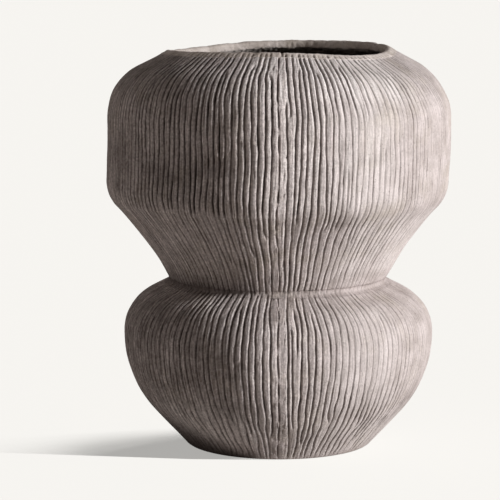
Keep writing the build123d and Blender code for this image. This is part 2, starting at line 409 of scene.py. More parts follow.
def seam_line(outline, bridges, seed):
    """How far a seam strays from the middle of its strip at every row, and how deep it is left open there."""
    along = np.arange(len(outline)) * ROW
    stray = 2.1 * row_cloud(along / 42, 0.5, seed) + 0.4 * row_cloud(along / 11, 0.5, seed + 1)
    bridged = bell(np.array(bridges), BRIDGE, outline[:, 1:]).max(axis=1)
    patchy = 0.85 + 0.2 * row_cloud(along / 17, 3.5, seed)
    return stray / outline[:, 0], patchy * (1 - bridged)


seam_lines = {
    "upper_front": seam_line(upper_outline, (384, 355, 330, 307, 279, 262, 234, 216, 190), 21),
    "upper_rear": seam_line(upper_outline, (372, 330, 268, 204), 22),
    "lower_front": seam_line(lower_outline, (158, 149, 118, 90, 70, 44, 21), 23),
    "lower_rear": seam_line(lower_outline, (140, 92, 51), 24),
}
print("seam lines:", *seam_lines)

# %% [markdown]
# ## A comb for each half
# The comb left its grooves 6 to 7 mm apart at the widest places, and closer where the wall draws in. Each
# half has tracks of its own, with a seam at either end of them.

# %% Combs of the four halves
UPPER_PITCH = np.interp(upper_outline[:, 1], (172, 250, 330, 396), (5.7, 6.1, 6.35, 5.8))
LOWER_PITCH = np.interp(lower_outline[:, 1], (0, 113, 165), (6.1, 6.9, 5.9))
combs = {}
for storey, outline, pitch, seed in (
    ("upper", upper_outline, UPPER_PITCH, 11),
    ("lower", lower_outline, LOWER_PITCH, 13),
):
    front, rear = seam_lines[storey + "_front"], seam_lines[storey + "_rear"]
    combs[storey + "_right_shell"] = (*comb_tracks(outline, pitch, seed), front, rear)
    combs[storey + "_left_shell"] = (*comb_tracks(outline, pitch, seed + 1), rear, front)
for name, (place, *_) in combs.items():
    print(name, "has", len(place), "grooves,", int((~np.isnan(place[:, -1])).sum()), "at the top")

# %% [markdown]
# ## How a groove is shaped
# A comb tooth ploughs a narrow trench and leaves flat ridges with rounded edges, and the edge towards the
# light shines. For a row of the mesh, each vertex looks for the groove on either side of it. The columns of
# the mesh are first gathered in towards the grooves, so that a trench 2 mm wide has enough of them. Small
# noise frays the edges, and each ridge is tilted a little its own way, so that no two catch the light alike.
# The seams count as grooves too, because the filled joint is sunk between two ridges.

# %% Groove shape
TRENCH, TRENCH_SHARE = 1.15, 0.7
ROUNDED_EDGE, EDGE_SHARE = 2.5, 0.36
GATHER, GATHER_REACH = 0.55, 2.2
RIDGE_TILT = 0.42


def row_grooves(comb, row):
    """Direction, strength and number of the grooves that cross one row, with the seams as first and last."""
    place, strength, (first_stray, first_open), (last_stray, last_open) = comb
    there = np.flatnonzero(~np.isnan(place[:, row]))
    there = there[np.argsort(place[there, row])]
    first, last = first_stray[row] - math.pi / 2, last_stray[row] + math.pi / 2
    strength = np.concatenate(([first_open[row]], strength[there, row], [last_open[row]]))
    place = np.concatenate(([first], place[there, row], [last]))
    return place, strength, np.append(there, [0, 0])


def gather(grooves, direction, radius):
    """Draws directions in towards the nearest groove, but for those at the ends of the half."""
    place, strength, _ = grooves
    right = np.clip(np.searchsorted(place, direction), 1, len(place) - 1)
    near = np.where(direction - place[right - 1] < place[right] - direction, right - 1, right)
    away = (direction - place[near]) * radius
    free = ease(0, 3, (HALF_TURN / 2 - np.abs(direction)) * radius)
    pull = GATHER * np.minimum(strength[near], 1) * np.clip(1 - np.abs(away) / GATHER_REACH, 0, 1) * free
    return direction - pull * away / radius


def groove_width(strength, pressure):
    """Half the width of a trench, which is wider where the comb was pressed harder."""
    return TRENCH * (0.5 + 0.55 * strength) * (0.7 + 0.34 * pressure)


def trench_cut(gap, half_width):
    """Share of a trench's depth at a distance from its middle."""
    return np.clip(1 - (gap / half_width) ** 1.6, 0, 1)


def edge_fall(gap):
    """How far the rounded edge beside a trench has fallen at a distance from the trench's middle."""
    return np.clip(1 - gap / ROUNDED_EDGE, 0, 1) ** 2


def pressed_share(cut, fall):
    """Share of the depth that the clay gives way, in the trench and at its rounded edges."""
    return TRENCH_SHARE * cut + EDGE_SHARE * fall


def groove_marks(grooves, row, direction, radius, pressure, seed):
    """For points of a row: how much is cut, how near a ridge's edge is, its rounding and the ridge's tilt."""
    place, strength, number = grooves
    calm = ease(0, 4, (HALF_TURN / 2 - np.abs(direction)) * radius)
    fray = 0.25 * calm * row_cloud(direction * radius / 2.4, row * ROW / 5, seed)
    right = np.clip(np.searchsorted(place, direction), 1, len(place) - 1)
    cut, edge, fall = np.zeros_like(direction), np.zeros_like(direction), np.zeros_like(direction)
    for near in (right - 1, right):
        gap = np.abs(np.abs(direction - place[near]) * radius + fray)
        half_width = groove_width(strength[near], pressure)
        cut = np.maximum(cut, strength[near] * trench_cut(gap, half_width))
        edge = np.maximum(edge, strength[near] * bell(half_width + 0.5, 0.6, gap))
        fall = np.maximum(fall, strength[near] * edge_fall(gap))
    across = 2 * (direction - place[right - 1]) / (place[right] - place[right - 1]) - 1
    leaning = row_cloud(number[right - 1] * 1.7, row * ROW / 45, seed + 2)
    return cut, edge, fall, across * leaning * (1 - np.minimum(cut, 1)) * calm


print("trench", 2 * TRENCH, "mm wide")

# %% [markdown]
# ## How hard the comb was pressed
# The depth of a groove changes with the height, because the comb lifts off at the ends of a stroke. It also
# changes round the vase: the comb was pressed firmly at the left and faintly at the right of the drum. Below
# the drum, at the left of the front, the flare was wiped afterwards.

# %% Groove depth
FIRM, FAINT = 1.35, 0.4
UPPER_LEVELS = (172, 182, 235, 250, 264, 345, 385, 397)
UPPER_DEPTHS = (1.2, 1.4, 1.4, 1.6, 1.9, 1.75, 1.45, 1.3)
LOWER_LEVELS = (1, 5, 20, 60, 140, 158, 166)
LOWER_DEPTHS = (0, 1.0, 1.4, 1.5, 1.6, 1.4, 1.0)
DRUM_FOOT = 252


def relief(direction, height=300):
    """How hard the comb was pressed: firmly at the left and faintly at the right of the drum."""
    lighter = 0.25 * ease(-2.2, -1.6, direction) + 0.7 * ease(-1.52, -1.05, direction)
    on_foot, on_bowl = 0.48 * ease(95, 45, height), 0.12 * ease(172, 160, height)
    on_flare = 0.24 * ease(172, 185, height) * ease(252, 236, height)
    on_shoulder = 0.46 * ease(335, 370, height)
    return FIRM - lighter * (1 - on_foot - on_bowl - on_flare - on_shoulder) * ease(2.2, 1.2, direction)


def upper_depth(height, direction):
    """Depth of the grooves in mm above the waist, and how far the clay between them is sunk.

    At the left of the front the flare was wiped, so the deep grooves of the drum end there in a ragged row,
    with a small burr of pushed clay under it.
    """
    depth = np.interp(height, UPPER_LEVELS, UPPER_DEPTHS)
    degrees = np.degrees(direction)
    beside = ease(-172, -160, degrees) * ease(-103, -112, degrees)
    ragged = DRUM_FOOT + 2 * row_cloud(direction * 26, 0, 71)
    wiped = beside * ease(176, 190, height) * ease(ragged + 1.3, ragged - 1.3, height)
    burr = ease(-168, -150, degrees) * ease(-78, -92, degrees) * bell(ragged - 3, 1.8, height)
    depth = depth * relief(direction, height) * (1 - 0.42 * wiped) * (1 - 0.5 * burr)
    return depth, 0.65 * wiped - 0.7 * burr


def lower_depth(height, direction):
    """Depth of the grooves in mm below the waist."""
    depth = np.interp(height, LOWER_LEVELS, LOWER_DEPTHS)
    return depth * relief(direction, height), np.zeros_like(direction)


print("deepest groove", round(max(UPPER_DEPTHS) * FIRM, 2), "mm")

# %% [markdown]
# ## Stain, wash and painted light
# Before the firing a dark stain was rubbed into the grooves, and a pale wash was wiped over the ridges. The
# stain in the grooves is also painted shade, deepest in the deep grooves of the shaded left, and the wash on
# the ridges' edges is also a painted highlight there. Painted shade darkens the left half, the crease of the
# waist and the foot where it meets the floor. The wash was left thick in a few places, where it is also
# painted light: on the foot, the drum, the belly, the flare and the shoulder. Here all are shares that the
# clay's colour will read later.

# %% Stain, wash and painted light
FULLY_DARK_DEPTH = 2.5


def painted_left_shade(height, direction):
    """Painted shade on the left half: drum, waist crease and bowl, and a painted shadow at the foot."""
    degrees = -np.abs(np.degrees(direction))
    turned_away = ease(-0.05, 0.35, -np.cos(direction))
    # Each term is painted shade on the left, away from the softbox; noise makes the bowl and drum patchy.
    crease = 0.62 * ease(202, 170, height) ** 2.5 * ease(165, 170, height) * turned_away
    mottle = 1 + 1.1 * row_cloud(direction * 62, height / 4, 76)
    bowl = 0.29 * mottle * ease(168, 160, height) * ease(30, 60, height) * turned_away
    reach = np.interp(degrees, (-180, -140, -112), (112, 54, 13))
    foot = np.clip((reach - height) / (reach - 2), 0, 1) ** 1.1 * ease(-94, -112, degrees)
    blotches = np.clip(0.7 + row_cloud(direction * 6, height / 14, 75), 0, 1)
    drum = 0.5 * bell(288, 17, height) * blotches * turned_away
    return np.maximum.reduce((crease, bowl, foot, drum))


def pale_wash_and_painted_light(height, direction):
    """Pale wash and painted light: along the foot, and at the front and the right above it."""
    degrees = np.degrees(direction)
    # Pale wash that is also painted light: floor bounce on the foot, and light on the drum, belly, flare and
    # shoulder
    front_left = ease(-84, -104, degrees) * ease(-164, -138, degrees)
    foot_left = 0.9 * ease(10, 26, height) * ease(80, 45, height) * front_left
    foot_right = 0.5 * ease(2, 8, height) * ease(60, 30, height) * ease(-84, -70, degrees)
    front = ease(-100, -88, degrees) * ease(-40, -60, degrees)
    drum = 0.5 * ease(246, 262, height) * front
    front_right = ease(-84, -66, degrees) * ease(-30, -50, degrees)
    belly = 0.3 * ease(40, 60, height) * ease(162, 150, height) * front_right
    shoulder = 0.85 * ease(342, 368, height) * ease(-112, -98, degrees) * ease(-24, -50, degrees)
    flare = 0.5 * ease(176, 190, height) * ease(252, 240, height) * ease(-72, -56, degrees)
    return np.maximum.reduce((foot_left, foot_right, drum, belly, shoulder, flare))


def groove_stain_and_shade(depth):
    """Stain and painted shade in a groove: full in the deep ones, little in the shallow ones."""
    return np.minimum(depth / FULLY_DARK_DEPTH, 1) ** 1.3


def coarseness(direction):
    """How rough the comb left the clay: 0 where it was pressed faintly, 1 where firmly."""
    return (relief(direction) - FAINT) / (FIRM - FAINT)


print("grooves over", FULLY_DARK_DEPTH, "mm deep are fully stained")

# %% [markdown]
# ## The four combed shells
# Each shell is its section swept over nearly half a turn in 812 steps, fine enough for a narrow trench. Then
# the outer rows are pressed in along the wall's own slope. The depth of the cut is kept as an attribute for
# the colour, and so is each point's place along the comb, so that scratches can follow the grooves.

# %% Press the comb into the shells
COMB_RADIUS = 150
SHELL_STRIPS, SHELL_STEPS = 28, 29
SHARP_ANGLE = math.radians(80)


def wrapped(angle):
    """The same direction, less than half a turn to either side."""
    return (angle + math.pi) % math.tau - math.pi


def outward(outline):
    """Unit normals of an outline, pointing out of the clay."""
    slope = np.gradient(outline, axis=0)
    slope /= np.linalg.norm(slope, axis=1, keepdims=True)
    return np.stack((slope[:, 1], -slope[:, 0]), axis=1)


def finish_piece(name, mesh, places, marks):
    """Writes the places and the marks into the mesh and hangs the piece on the part."""
    mesh.vertices.foreach_set("co", places.ravel())
    for mark, values in marks.items():
        kind = "FLOAT_VECTOR" if values.ndim == 2 else "FLOAT"
        field = "vector" if values.ndim == 2 else "value"
        mesh.attributes.new(mark, kind, "POINT").data.foreach_set(field, values.ravel().astype(np.float32))
    mesh.attributes.remove(mesh.attributes["row"])
    mesh.shade_smooth()
    mesh.set_sharp_from_angle(angle=SHARP_ANGLE)
    mesh.update()
    piece = bpy.data.objects.new(name + "_dressed", mesh)
    bpy.context.scene.collection.objects.link(piece)
    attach(piece, "root")
    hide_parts(name)
    return piece


def comb_shell(name, section, outline, middle, depth_at, seed):
    """A half shell with the comb pressed into its outside, row by row."""
    mesh = spin_section(name, section, len(outline), middle, HALF_TURN, SHELL_STRIPS, SHELL_STEPS)
    radius, direction, height, row = read_mesh(mesh)
    normals, along = outward(outline), np.arange(len(outline)) * ROW
    groove, ridge, coarse = np.zeros_like(radius), np.zeros_like(radius), np.zeros_like(radius)
    comb_place = np.zeros((len(radius), 3))
    for here, (wide, level) in enumerate(outline):
        spots = np.flatnonzero(row == here)
        grooves = row_grooves(combs[name], here)
        local = gather(grooves, wrapped(direction[spots] - middle), wide)
        turned = wrapped(local + middle)
        direction[spots] = turned
        depth, lowered = depth_at(height[spots], turned)
        cut, edge, fall, tilt = groove_marks(grooves, here, local, wide, relief(turned), seed)

        # Chips and lumps, with more chips beside a seam
        from_seam = (HALF_TURN / 2 - np.abs(local)) * wide
        chips = np.clip(row_cloud(local * wide / 2.2, along[here] / 3.5, seed + 50) - 0.45, 0, 1)
        chips = chips * (1 + 2 * bell(4, 3, from_seam))
        lumps = row_cloud(local * wide / 14, along[here] / 20, seed + 60)
        rough = ease(0, 4, from_seam) * (0.6 * depth * chips + 0.25 * lumps)
        pressed = depth * pressed_share(cut, fall) + lowered + rough + RIDGE_TILT * tilt
        pressed = pressed * ease(0, 6, height[spots])
        radius[spots] -= pressed * normals[here, 0]
        height[spots] -= pressed * normals[here, 1]

        # Marks for the colour
        # Stain in the trench, which is also painted shade, darkest in the deep grooves of the left
        dashes = row_cloud(local * wide / 4, along[here] / 15, seed + 70)
        stained_and_shaded = cut * (groove_stain_and_shade(depth) + 0.3 * np.clip(1.6 * dashes, 0, 1))
        # Painted shade on the left, a little lighter on the ridges' edges
        less_shade_on_edges = np.clip(1 - 0.5 * edge * ease(20, 60, height[spots]), 0, 1)
        groove[spots] = np.maximum(stained_and_shaded, painted_left_shade(level, turned) * less_shade_on_edges)
        # Pale wash on the ridges' edges, also a painted highlight that is strongest on the shaded left
        ridge[spots] = np.maximum(edge * relief(turned) / FIRM, pale_wash_and_painted_light(level, turned))
        coarse[spots] = coarseness(turned)
        comb_place[spots, 0], comb_place[spots, 1] = local * COMB_RADIUS * MM, along[here] * MM
    marks = {"groove": groove, "ridge": ridge, "coarse": coarse, "comb_place": comb_place}
    return finish_piece(name, mesh, by_hand(radius, direction, height), marks)


shells = [
    comb_shell("upper_right_shell", upper_section, upper_outline, RIGHT, upper_depth, 101),
    comb_shell("upper_left_shell", upper_section, upper_outline, LEFT, upper_depth, 102),
    comb_shell("lower_right_shell", lower_section, lower_outline, RIGHT, lower_depth, 103),
    comb_shell("lower_left_shell", lower_section, lower_outline, LEFT, lower_depth, 104),
]
for shell in shells:
    print(shell.name, len(shell.data.loops) - 2 * len(shell.data.polygons), "triangles")

# %% [markdown]
# ## The slip seams
# Where two shells meet, the potter scored the edges and filled the joint with slip. The fill is a strip about
# 3 mm wide that shows at the front and at the rear as one rough groove among the combed ones. It has the
# shells' own section, swept over a single degree, and is sunk along the seam line worked out with the comb.

# %% Seam strips
SEAM_STRIPS, SEAM_STEPS = 2, 4


def fill_seam(name, section, outline, middle, depth_at, line, seed):
    """A strip of slip between two half shells, sunk along its seam line."""
    mesh = spin_section(name, section, len(outline), middle, SEAM_ANGLE, SEAM_STRIPS, SEAM_STEPS)
    radius, direction, height, row = read_mesh(mesh)
    outer = np.flatnonzero(row >= 0)
    turned, along = direction[outer], row[outer] * ROW
    stray, strength = line[0][row[outer]], line[1][row[outer]]
    gap = np.abs(turned - middle - stray) * radius[outer]
    cut = strength * trench_cut(gap, groove_width(strength, relief(turned)))
    fall = strength * edge_fall(gap)
    depth, lowered = depth_at(height[outer], turned)
    inside = 1 - np.clip(np.abs(turned - middle) / (SEAM_ANGLE / 2), 0, 1) ** 2
    rough = 0.45 * inside * cloud(turned * COMB_RADIUS, along / 4, seed)
    sunk = (depth * pressed_share(cut, fall) + lowered + rough) * ease(0, 6, height[outer])
    normals = outward(outline)[row[outer]]
    radius[outer] -= sunk * normals[:, 0]
    height[outer] -= sunk * normals[:, 1]
    groove, comb_place = np.zeros_like(radius), np.zeros((len(radius), 3))
    # Stain in the groove, which is also painted shade
    groove[outer] = cut * groove_stain_and_shade(depth)
    comb_place[outer, 0], comb_place[outer, 1] = turned * COMB_RADIUS * MM, along * MM
    marks = {"groove": groove, "coarse": coarseness(direction), "comb_place": comb_place}
    return finish_piece(name, mesh, by_hand(radius, direction, height), marks)


seams = []
for storey, section, outline, depth_at in (
    ("upper", upper_section, upper_outline, upper_depth),
    ("lower", lower_section, lower_outline, lower_depth),
):
    for side, middle in (("front", FRONT), ("rear", REAR)):
        line, seed = seam_lines[f"{storey}_{side}"], 61 + len(seams)
        seams.append(fill_seam(f"{storey}_{side}_seam", section, outline, middle, depth_at, line, seed))
print("seams:", len(seams))

# %% [markdown]
# ## The waist coil
# A thin coil of soft clay joins the two storeys, and a finger smeared it into the crease. The grooves of the
# flare and the bowl meet on it, so the ring takes the end rows of both combs. At the front right they are
# wiped away by the finger over a few centimetres. It is a full turn, and its last step is merged with its
# first.

# %% Waist coil
COIL_ROW, COIL_DEPTH = 1.2, 0.9
RING_STRIPS, RING_STEPS = 40, 25


def ring_marks(storey, here, direction, radius, seed):
    """Marks of the right and the left comb of one storey round a whole ring."""
    marks = np.zeros((4, len(direction)))
    for name, middle in ((storey + "_right_shell", RIGHT), (storey + "_left_shell", LEFT)):
        local = wrapped(direction - middle)
        spots = np.flatnonzero(np.abs(local) < HALF_TURN / 2)
        grooves, pressure = row_grooves(combs[name], here), relief(direction[spots])
        marks[:, spots] = groove_marks(grooves, here, local[spots], radius, pressure, seed)
    return marks


coil_outline = draw_outline([lower_end, CREASE, upper_start], COIL_ROW)
coil_inside = [upper_inside[-1], inside_wall[3], lower_inside[0]]
coil_section = np.vstack((coil_outline, [corner[:2] for corner in coil_inside]))
coil_mesh = spin_section(
    "waist_coil", coil_section, len(coil_outline), RIGHT, math.tau, RING_STRIPS, RING_STEPS
)
radius, direction, height, row = read_mesh(coil_mesh)
coil_groove, coil_coarse = np.zeros_like(radius), np.zeros_like(radius)
coil_place = np.zeros((len(radius), 3))
coil_normals = outward(coil_outline)
for here, (wide, level) in enumerate(coil_outline):
    spots = np.flatnonzero(row == here)
    turned = direction[spots]
    above = ring_marks("upper", 0, turned, wide, 31)
    below = ring_marks("lower", len(lower_outline) - 1, turned, wide, 32)
    blend = ease(167, 170, level)
    cut, _, fall, _ = above * blend + below * (1 - blend)
    smeared = ease(-1.7, -1.58, turned) * ease(-1.2, -1.34, turned)
    lumps = 0.2 * row_cloud(turned * 20, here / 3, 33)
    pressed = COIL_DEPTH * pressed_share(cut, fall) * (1 - 0.4 * smeared) * relief(turned) + lumps
    radius[spots] -= pressed * coil_normals[here, 0]
    height[spots] -= pressed * coil_normals[here, 1]
    # Stain in the grooves with painted shade, darkest on the left, and the painted left shade
    stained_and_shaded = cut * (1 - 0.5 * smeared) * relief(turned) / FIRM
    coil_groove[spots] = np.maximum(stained_and_shaded, painted_left_shade(level, turned))
    coil_coarse[spots] = coarseness(turned)
    coil_place[spots, 0], coil_place[spots, 1] = turned * COMB_RADIUS * MM, here * COIL_ROW * MM
coil_marks = {"groove": coil_groove, "coarse": coil_coarse, "comb_place": coil_place}
coil = finish_piece("waist_coil", coil_mesh, by_hand(radius, direction, height), coil_marks)
print("waist coil:", len(coil_mesh.polygons), "faces")

# %% [markdown]
# ## The rim coil
# The mouth is finished with one thick coil, pinched and wiped round on top, so the lip itself is plain and
# the comb only grazes its outer edge. It has a soft top corner, a vertical face towards the mouth, and small
# dents left by the fingers. A narrow nick sits at the front, on the seam, and a wider one at the right.

# %% Rim coil
MOUTH_RADIUS, RIM_TOP, RIM_UNDER = 105.5, 402.68, 392.47
RIM_ROW, LIP_RADIUS = 1.3, 106
# How deep each nick is in mm, its direction, and half its width in mm
NICKS = ((1.1, FRONT + 0.025, 0.9), (1.2, 0.42, 4))
rim_corners = [RIM_JOINT, (MOUTH_RADIUS, RIM_TOP, 4), (MOUTH_RADIUS, RIM_UNDER, 2), RIM_JOINT_BOTTOM]
rim_outline = draw_outline(rim_corners, RIM_ROW)
rim_mesh = spin_section("rim_coil", rim_outline, len(rim_outline), RIGHT, math.tau, RING_STRIPS, RING_STEPS)
radius, direction, height, row = read_mesh(rim_mesh)
rim_groove = np.zeros_like(radius)
rim_normals = outward(rim_outline)
for here in range(1, len(rim_outline) - 1):
    spots = np.flatnonzero(row == here)
    turned, (wide, level) = direction[spots], rim_outline[here]
    on_top = ease(111, 114.5, wide) if level > 394 else 0
    cut = ring_marks("upper", len(upper_outline) - 1, turned, wide, 41)[0]
    cut = cut * on_top * np.clip(0.8 + 0.6 * row_cloud(turned * 45, 0.5, 44), 0, 1)
    rough = 0.22 + 0.4 * ease(398, 396, level)
    dents = 0.35 * row_cloud(turned * 9, here / 6, 42) + rough * row_cloud(turned * 40, here / 2, 43)
    nick = sum(deep * bell(0, half, (turned - place) * LIP_RADIUS) for deep, place, half in NICKS)
    nick = nick * ease(396, 399, level)
    pressed = 1.3 * cut + dents + nick
    radius[spots] -= pressed * rim_normals[here, 0]
    height[spots] -= pressed * rim_normals[here, 1]
    # The cuts and the nicks are darkened: stain, with painted shade in the hollows
    rim_groove[spots] = np.clip(0.8 * cut + 0.3 * nick, 0, 1)
rim_places = by_hand(radius, direction, height)
rim = finish_piece("rim_coil", rim_mesh, rim_places, {"groove": rim_groove})
print("rim coil:", len(rim_mesh.polygons), "faces")

# %% [markdown]
# ## The glazed lining
# A thin dark glaze seals the inside so that the vase holds water. It is a skin 1 mm thick: the line of the
# inner wall from the middle of the floor to the rim, and back again 1 mm further in. Both ends lie on the
# axis, where the spin meets itself and is merged to a point.

# %% Glazed lining
GLAZE, GLAZE_TOP, LINING_ROW = 1, 384.9, 9
LINING_STRIPS, LINING_STEPS = 10, 16
lining_wall = inset(whole_wall, WALL + GLAZE)
floor_edge = at_height(inside_wall[0], inside_wall[1], FLOOR_TOP)
glaze_edge = at_height(lining_wall[0], lining_wall[1], FLOOR_TOP + GLAZE)
lining_back = [(0, FLOOR_TOP, 0), floor_edge, *inside_wall[1:7], RIM_JOINT_BOTTOM]
lining_face = [(0, FLOOR_TOP + GLAZE, 0), glaze_edge, *lining_wall[1:7], (RIM_JOINT[0], GLAZE_TOP, 0)]
lining_sides = [draw_outline(corners, LINING_ROW) for corners in (lining_back, lining_face)]
lining_section = np.vstack((lining_sides[0], lining_sides[1][::-1]))
lining_mesh = spin_section(
    "inner_glaze", lining_section, 0, RIGHT, math.tau, LINING_STRIPS, LINING_STEPS, closed=False
)
radius, direction, height, _ = read_mesh(lining_mesh)
lining = finish_piece("inner_glaze", lining_mesh, by_hand(radius, direction, height), {})
print("lining:", len(lining_mesh.polygons), "faces")

# %% [markdown]
# ## Node helpers
# Every material below is built from nodes. One function adds a node, sets its options and fills its sockets
# with numbers or links, so a finish reads like a short recipe. Colours are given as the sRGB values that a
# colour picker shows, and turned into the linear light that the renderer works with.

# %% Node helpers
def linear(code):
    """An sRGB hex colour as linear red, green, blue and alpha."""
    parts = [int(code[place : place + 2], 16) / 255 for place in (1, 3, 5)]
    return (*[part / 12.92 if part <= 0.04045 else ((part + 0.055) / 1.055) ** 2.4 for part in parts], 1)


def add_node(tree, kind, sockets, **options):
    """A new node with its options set and its sockets filled or linked."""
    node = tree.nodes.new(kind)
    for option, value in options.items():
        setattr(node, option, value)
    for socket, value in sockets.items():
        if isinstance(value, bpy.types.NodeSocket):
            tree.links.new(value, node.inputs[socket])
        else:
            node.inputs[socket].default_value = value
    return node


print("clay grey in linear light:", tuple(round(part, 3) for part in linear("#A0948B")))

# %% [markdown]
# ## Fired clay
# The body is an unglazed stoneware, fired to a warm grey and rubbed with a pale wash. It is quite matt: light
# scatters in the open surface, so roughness is near 0.9 and there is hardly a highlight. Wash stays on the
# high edges with a painted highlight, and dark stain collects in the grooves with painted shade. Painted
# shade also darkens the body where the comb was pressed faintly, mostly on the lit right, and the tone
# drifts in patches a few centimetres wide.

# %% Fired clay
PATCH, STAIN, PIT, SPECK = 0.024, 0.05, 0.0045, 0.006
# The grit in the clay is under 1 mm and a scratch of the comb under half that, too fine to show at this
# distance, so both are drawn about three times as coarse.
GRIT, SCRATCH_WIDTH, SCRATCH_LENGTH = 0.0024, 0.0014, 0.036
BUMP_HEIGHT = 0.0007
CLAY_ROUGHNESS, CLAY_IOR, CLAY_SHINE = 0.9, 1.5, 0.2
MIX_FACTOR, MIX_FIRST, MIX_SECOND, MIX_COLOUR = 0, 6, 7, 2


def fired_clay(name, body, body_dark, wash, stain, groove_colour):
    """Matt unglazed stoneware: patchy gritty body, pale wash and a painted highlight on the edges, dark stain
    and painted shade in the grooves.
    """
    material = bpy.data.materials.new(name)
    material.use_nodes = True
    tree = material.node_tree
    surface = tree.nodes["Principled BSDF"]
    place = add_node(tree, "ShaderNodeTexCoord", {}).outputs["Object"]
    comb_place = add_node(tree, "ShaderNodeAttribute", {}, attribute_name="comb_place").outputs["Vector"]
    groove = add_node(tree, "ShaderNodeAttribute", {}, attribute_name="groove").outputs["Fac"]
    ridge = add_node(tree, "ShaderNodeAttribute", {}, attribute_name="ridge").outputs["Fac"]
    coarse = add_node(tree, "ShaderNodeAttribute", {}, attribute_name="coarse").outputs["Fac"]
    stretched = {"Vector": comb_place, "Scale": (1 / SCRATCH_WIDTH, 1 / SCRATCH_LENGTH, 1)}
    along_comb = add_node(tree, "ShaderNodeMapping", stretched).outputs["Vector"]

    # Cloudy patterns: where they are read, bump size, detail, and a span that is spread over shares
    cloudy, share = {}, {}
    for pattern, where, size, detail, low, high, least, most in (
        ("patches", place, PATCH, 6, 0.36, 0.64, 0, 1),
        ("stains", place, STAIN, 5, 0.5, 0.7, 0, 0.5),
        ("grit", place, GRIT, 5, 0.4, 0.6, 0.76, 1.2),
        ("scratches", along_comb, 1, 4, 0.36, 0.64, 0.66, 1.28),
        ("patchy_wash_and_highlight", along_comb, 1.7, 5, 0.38, 0.62, 0.25, 1),
    ):
        bumps = {"Vector": where, "Scale": 1 / size, "Detail": detail, "Roughness": 0.66}
        cloudy[pattern] = add_node(tree, "ShaderNodeTexNoise", bumps).outputs["Fac"]
        spread = {"From Min": low, "From Max": high, "To Min": least, "To Max": most}
        spread["Value"] = cloudy[pattern]
        share[pattern] = add_node(tree, "ShaderNodeMapRange", spread).outputs["Result"]

    # Scattered dots: about one to each cube of this size, how far a dot reaches, and its share of colour
    for pattern, size, reach, most in (("pits", PIT, 0.2, 0.36), ("specks", SPECK, 0.2, 0.16)):
        dots = add_node(tree, "ShaderNodeTexVoronoi", {"Vector": place, "Scale": 1 / size})
        spread = {"From Min": 0.4 * reach, "From Max": reach, "To Min": most, "To Max": 0}
        spread["Value"] = dots.outputs["Distance"]
        share[pattern] = add_node(tree, "ShaderNodeMapRange", spread).outputs["Result"]

    # Marks of the comb: a value times a factor, plus a little
    for pattern, value, factor, plus in (
        # smooth: painted shade, a darker body where the comb was faint, which is mostly the lit right
        ("smooth", coarse, -0.26, 0.26),
        ("rough", coarse, 0.7, 0.3),
        # edges: pale wash and a painted highlight on the ridges' edges
        ("edges", ridge, share["patchy_wash_and_highlight"], 0),
        # trenches: stain and painted shade in the grooves
        ("trenches", groove, 0.97, 0),
    ):
        sockets = {0: value, 1: factor, 2: plus}
        marked = add_node(tree, "ShaderNodeMath", sockets, operation="MULTIPLY_ADD", use_clamp=True)
        share[pattern] = marked.outputs["Value"]

    # Colours laid over each other, from the body outwards
    colour = linear(body_dark)
    for pattern, layer, blend in (
        ("patches", linear(body), "MIX"),
        # Painted shade on the lit right
        ("smooth", linear(body_dark), "MIX"),
        ("stains", linear(stain), "MIX"),
        ("edges", linear(wash), "MIX"),
        ("rough", share["grit"], "MULTIPLY"),
        ("rough", share["scratches"], "MULTIPLY"),
        ("specks", linear(wash), "MIX"),
        ("pits", linear(groove_colour), "MIX"),
        ("trenches", linear(groove_colour), "MIX"),
    ):
        sockets = {MIX_FACTOR: share[pattern], MIX_FIRST: colour, MIX_SECOND: layer}
        laid = add_node(tree, "ShaderNodeMix", sockets, data_type="RGBA", blend_type=blend)
        colour = laid.outputs[MIX_COLOUR]

    streaks = {"Strength": 0.9, "Distance": BUMP_HEIGHT, "Height": cloudy["scratches"]}
    streaked = add_node(tree, "ShaderNodeBump", streaks).outputs["Normal"]
    grains = {"Strength": 1, "Distance": BUMP_HEIGHT, "Height": cloudy["grit"], "Normal": streaked}
    tree.links.new(colour, surface.inputs["Base Color"])
    tree.links.new(add_node(tree, "ShaderNodeBump", grains).outputs["Normal"], surface.inputs["Normal"])
    surface.inputs["Roughness"].default_value = CLAY_ROUGHNESS
    surface.inputs["IOR"].default_value = CLAY_IOR
    surface.inputs["Specular IOR Level"].default_value = CLAY_SHINE
    return material


# The groove colour is also painted shade in the grooves, and the wash colour a painted highlight on edges
combed_clay = fired_clay("combed_stoneware", "#C8BDBB", "#A19692", "#ECE4E1", "#A69B8C", "#3C322E")
slip_clay = fired_clay("slip_fill", "#C8BDBB", "#A19692", "#E8E0DD", "#A69B8C", "#3C322E")
# The rim's clay is lighter, partly as painted light for its inner face, which is in shade inside the mouth
plain_clay = fired_clay("wiped_stoneware", "#D8CEC9", "#A89D95", "#E8E0DC", "#A69A86", "#3C322E")
print("clay materials:", combed_clay.name, slip_clay.name, plain_clay.name)

# %% [markdown]
# ## Lining glaze
# Inside, a brown slip glaze melted to a dull satin. It is dark because hardly any light gets past the mouth
# and because iron in the glaze takes up most of that. Pooling makes the tone uneven, and roughness near 0.5
# leaves a broad, weak sheen on it.

